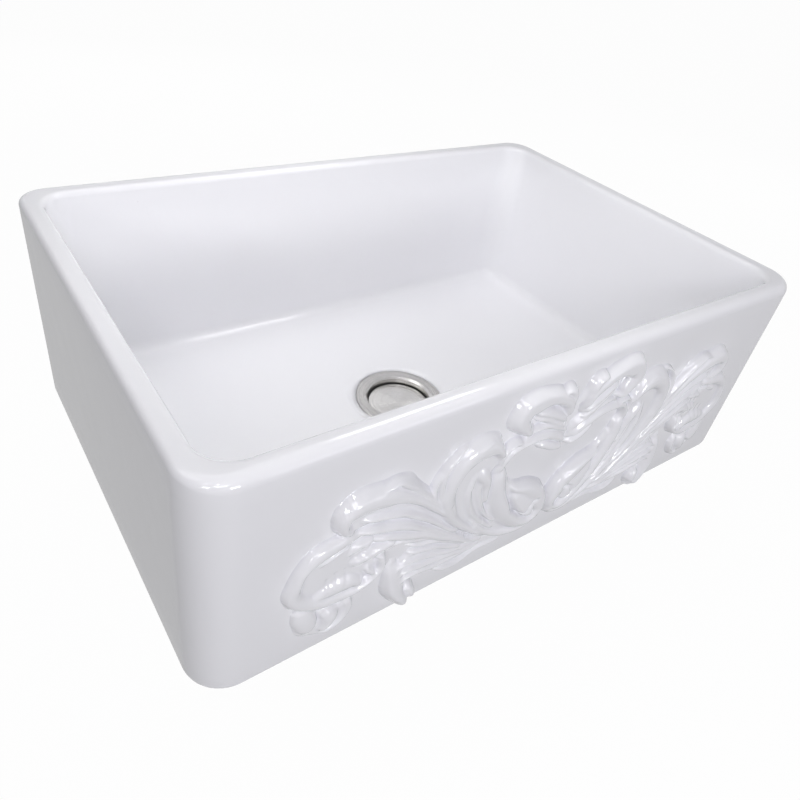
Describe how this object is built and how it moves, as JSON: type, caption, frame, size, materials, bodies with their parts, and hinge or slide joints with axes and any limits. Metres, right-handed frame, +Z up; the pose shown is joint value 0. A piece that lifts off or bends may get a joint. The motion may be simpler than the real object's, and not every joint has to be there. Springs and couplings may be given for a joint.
{
  "type": "farmhouse apron front sink",
  "caption": "White fireclay apron front kitchen sink, one deep bowl, carved scroll relief on the apron, and a steel basket strainer drain with a flat push lid.",
  "frame": {"origin": "on the drain's axis, in the plane of the basin's underside", "axes": "+X to the right along the apron, the apron faces -Y, +Z up out of the bowl"},
  "size_m": [0.7616, 0.5175, 0.4248],
  "materials": {
    "glaze": "glossy white glaze on fireclay",
    "brushed_steel": "brushed in rings",
    "bright_steel": "polished",
    "black_rubber": "matt",
    "pale_plastic": "smooth moulded",
    "cast_zinc": "cast, dull",
    "latch_brass": "turned"
  },
  "bodies": {
    "basin": {"basin": "glaze", "flange_seal": "black_rubber", "drain_body": "brushed_steel", "base_washer": "black_rubber", "slip_ring": "pale_plastic", "clamp_nut": "cast_zinc", "outlet_washer": "pale_plastic", "tailpiece": "bright_steel", "coupling_nut": "bright_steel"},
    "basket": {"basket_cup": "brushed_steel", "basket_ring": "black_rubber", "latch_housing": "latch_brass", "housing_nut": "latch_brass", "latch_pin": "bright_steel", "latch_spring": "bright_steel"},
    "lid": {"lid_disc": "brushed_steel", "lid_seal": "black_rubber", "seal_plate": "brushed_steel", "plate_nut": "latch_brass", "lid_stem": "bright_steel"}
  },
  "joints": [
    {"name": "basket_lift", "type": "slide", "parent": "basin", "child": "basket", "axis": [0, 0, 1], "range_m": [0, 0.3]},
    {"name": "lid_rise", "type": "slide", "parent": "basket", "child": "lid", "axis": [0, 0, 1], "range_m": [0, 0.02], "deforming": ["latch_spring"]}
  ]
}
